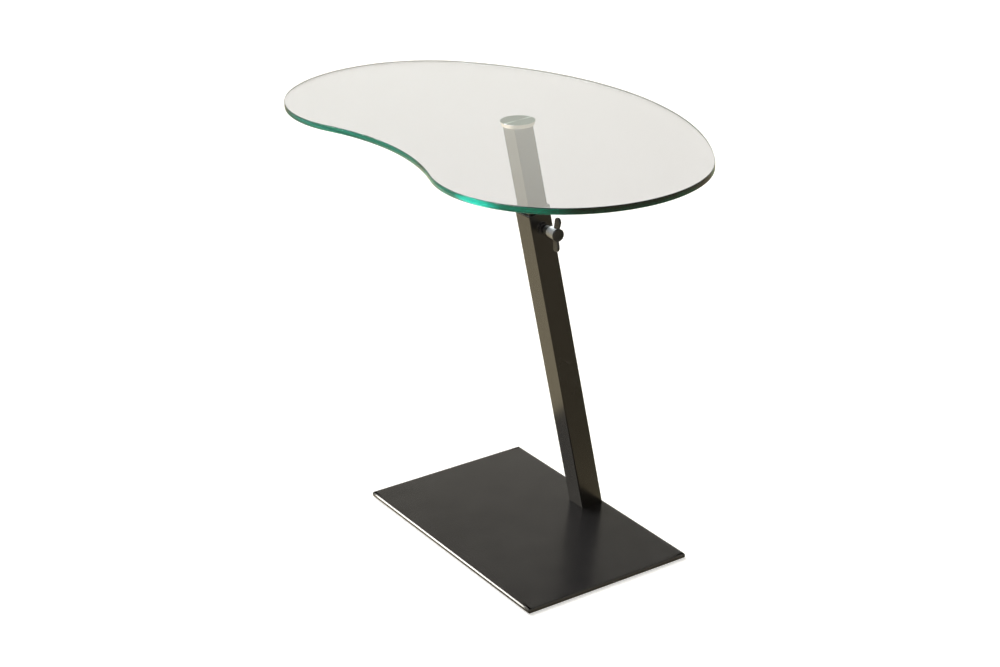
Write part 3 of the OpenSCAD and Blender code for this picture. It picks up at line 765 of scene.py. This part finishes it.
# the room: white to the camera; to everything else a bright low wall on one side and dim grey elsewhere,
# where glossy rays see a lower wall too
def makeRoom(look):
    world = bpy.data.worlds.new("room")
    world.use_nodes = True
    tree = world.node_tree
    tree.nodes.clear()
    direction = addNode(tree, "ShaderNodeTexCoord").outputs["Generated"]
    up = addNode(tree, "ShaderNodeSeparateXYZ", {0: direction}).outputs[2]
    low = belowElevation(tree, up, look["wallTop"], look["darkFrom"])
    turn = math.radians(look["wallTurn"])
    facing = addNode(tree, "ShaderNodeVectorMath", {0: direction, 1: (math.cos(turn), math.sin(turn), 0.0)},
                     operation="DOT_PRODUCT")
    near = addNode(tree, "ShaderNodeMapRange",
                   {0: facing.outputs["Value"], 1: math.cos(math.radians(look["wallEnd"])),
                    2: math.cos(math.radians(look["wallHalf"])), 3: 0.0, 4: 1.0},
                   interpolation_type="SMOOTHSTEP")
    both = addNode(tree, "ShaderNodeMath", {0: low, 1: near.outputs[0]}, operation="MULTIPLY")
    level = addNode(tree, "ShaderNodeMapRange",
                    {0: both.outputs[0], 1: 0.0, 2: 1.0, 3: look["dim"], 4: look["wall"]})
    lowInGlass = belowElevation(tree, up, look["throughTop"], look["throughEnd"])
    through = addNode(tree, "ShaderNodeMapRange",
                      {0: lowInGlass, 1: 0.0, 2: 1.0, 3: look["throughDim"], 4: look["through"]})
    path = addNode(tree, "ShaderNodeLightPath")
    elsewhere = addNode(tree, "ShaderNodeMapRange",
                        {0: near.outputs[0], 1: 0.0, 2: 1.0, 3: look["allRound"] - look["dim"], 4: 0.0})
    lowElsewhere = addNode(tree, "ShaderNodeMath", {0: low, 1: elsewhere.outputs[0]}, operation="MULTIPLY")
    levels = addNode(tree, "ShaderNodeMath",
                     {0: lowElsewhere.outputs[0], 1: path.outputs["Is Glossy Ray"], 2: level.outputs[0]},
                     operation="MULTIPLY_ADD")
    studio = addNode(tree, "ShaderNodeBackground",
                     {"Color": toLinear(look["wallTint"]), "Strength": levels.outputs[0]})
    inGlass = addNode(tree, "ShaderNodeBackground",
                      {"Color": toLinear(look["throughTint"]), "Strength": through.outputs[0]})
    pane = addNode(tree, "ShaderNodeBackground",
                   {"Color": (1, 1, 1, 1), "Strength": patch(tree, direction, look, "window")})
    behind = addNode(tree, "ShaderNodeAddShader", {0: inGlass.outputs[0], 1: pane.outputs[0]})
    white = addNode(tree, "ShaderNodeBackground", {"Color": (1, 1, 1, 1), "Strength": 1.0})
    indoors = addNode(tree, "ShaderNodeMixShader",
                      {0: fromInside(tree, path, look), 1: studio.outputs[0], 2: behind.outputs[0]})
    seen = addNode(tree, "ShaderNodeMixShader",
                   {0: path.outputs["Is Camera Ray"], 1: indoors.outputs[0], 2: white.outputs[0]})
    addNode(tree, "ShaderNodeOutputWorld", {"Surface": seen.outputs[0]})
    return world


bpy.context.scene.world = makeRoom(room)


# a lamp aimed at a point, by turning its -Z axis there
def addLamp(name, kind, at, aim, energy, **settings):
    data = bpy.data.lights.new(name, kind)
    data.energy = energy
    for key, value in settings.items():
        setattr(data, key, value)
    lamp = bpy.data.objects.new(name, data)
    back = Vector(at) - Vector(aim)
    lamp.matrix_world = Matrix.Translation(at) @ back.to_track_quat("Z", "Y").to_matrix().to_4x4()
    bpy.context.scene.collection.objects.link(lamp)
    return lamp


# wide soft sun as the key
addLamp("softKey", "SUN", at=(-1.35, -0.36, 1.82), aim=(0, 0, 0), energy=2.6, angle=math.radians(36))
# low strip light that the plate's bevel mirrors as a white line; its narrow beam keeps it off the knob
strip = addLamp("lowStrip", "AREA", at=(-2.26, -2.08, 0.195), aim=(0, -0.12, 0.006), energy=0.14,
                shape="RECTANGLE", size=0.8, size_y=0.2, spread=math.radians(20))
# softbox above, mirrored as fine highlights along rounded edges
softbox = addLamp("softbox", "AREA", at=(-0.4, -1.3, 2.6), aim=(0, 0, 0.5), energy=14.0,
                  shape="RECTANGLE", size=1.2, size_y=1.2)
# small softbox over the back, which lights the upper side of the knob's hub alone, because the post hides
# the hub from the key
hubBox = addLamp("hubBox", "AREA", at=(-0.38, 0.34, 1.32), aim=(0.045, 0.04, 0.462), energy=130.0,
                 shape="RECTANGLE", size=0.75, size_y=0.75)
hubBox.light_linking.receiver_collection = bpy.data.collections.new("litByHubBox")
hubBox.light_linking.receiver_collection.objects.link(hub)
for lamp in (strip, hubBox, softbox):
    lamp.visible_diffuse = False
    lamp.visible_camera = False

# the camera's place in metres, its turn, its look down and its roll in degrees, its lens and sensor in mm
view = {"at": (2.1603, -1.3888, 1.3911), "turn": 57.668, "down": 22.839, "roll": -1.738,
        "lens": 71.599, "sensor": 36.0}
camera = bpy.data.objects.new("camera", bpy.data.cameras.new("camera"))
camera.matrix_world = (Matrix.Translation(view["at"]) @ Matrix.Rotation(math.radians(view["turn"]), 4, "Z")
                       @ Matrix.Rotation(math.radians(90 - view["down"]), 4, "X")
                       @ Matrix.Rotation(math.radians(view["roll"]), 4, "Z"))
camera.data.sensor_width = view["sensor"]
camera.data.lens = view["lens"]
bpy.context.scene.collection.objects.link(camera)
bpy.context.scene.camera = camera
bpy.context.scene.view_settings.view_transform = "Standard"
# enough bounces for the light that runs along inside the glass edge
bpy.context.scene.cycles.max_bounces = 32
bpy.context.scene.cycles.glossy_bounces = 24
bpy.context.scene.cycles.transmission_bounces = 24
print("stage made")
